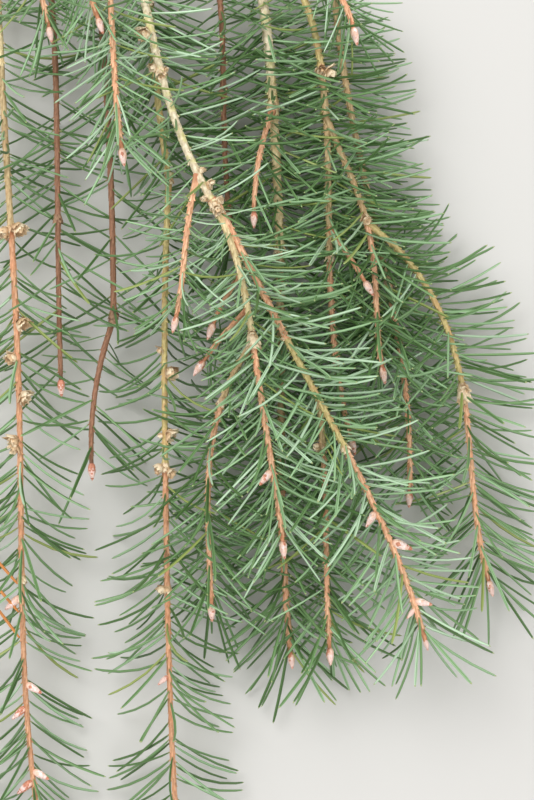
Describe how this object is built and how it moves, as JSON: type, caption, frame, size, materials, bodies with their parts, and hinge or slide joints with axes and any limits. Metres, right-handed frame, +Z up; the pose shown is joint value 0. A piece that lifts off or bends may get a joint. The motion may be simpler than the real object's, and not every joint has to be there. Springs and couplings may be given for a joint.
{
  "type": "weeping spruce branch",
  "caption": "Cut branch of a weeping spruce lying flat: a short bark-covered limb with long hanging shoots, set all round with stiff blue-green needles and tipped with scaly buds.",
  "frame": {"origin": "under the middle of the lying branch, at the level of the surface it rests on", "axes": "+Y from the shoots' tips up to the limb, which is the branch's longest way, +X along the limb from its cut end to its tip, +Z up, out of the bed of needles"},
  "size_m": [0.25, 0.3916, 0.0734],
  "materials": {
    "limb_bark": "dull, flaky grey-brown bark",
    "needle_foliage": "blue-green needles with a waxy satin sheen on orange-brown twigs",
    "shoot_bark": "orange-brown to tan grooved twig bark, matt",
    "bud_scales": "papery pinkish bud scales and beige husks, matt"
  },
  "bodies": {
    "root": {"limb": "limb_bark", "far_left_spray": "needle_foliage", "upper_left_tuft": "needle_foliage", "left_rear_spray": "needle_foliage", "upper_front_tuft": "needle_foliage", "left_deep_spray": "needle_foliage", "upper_front_spray": "needle_foliage", "front_leader_spray": "needle_foliage", "right_leader_spray": "needle_foliage", "front_side_spray": "needle_foliage", "lower_left_side_spray": "needle_foliage", "lower_right_side_spray": "needle_foliage", "centre_left_spray": "needle_foliage", "middle_short_spray": "needle_foliage", "middle_long_spray": "needle_foliage", "right_bough_spray": "needle_foliage", "right_side_spray": "needle_foliage", "arching_right_spray": "needle_foliage", "limb_end_spray": "needle_foliage", "upper_right_tuft": "needle_foliage"}
  },
  "joints": []
}
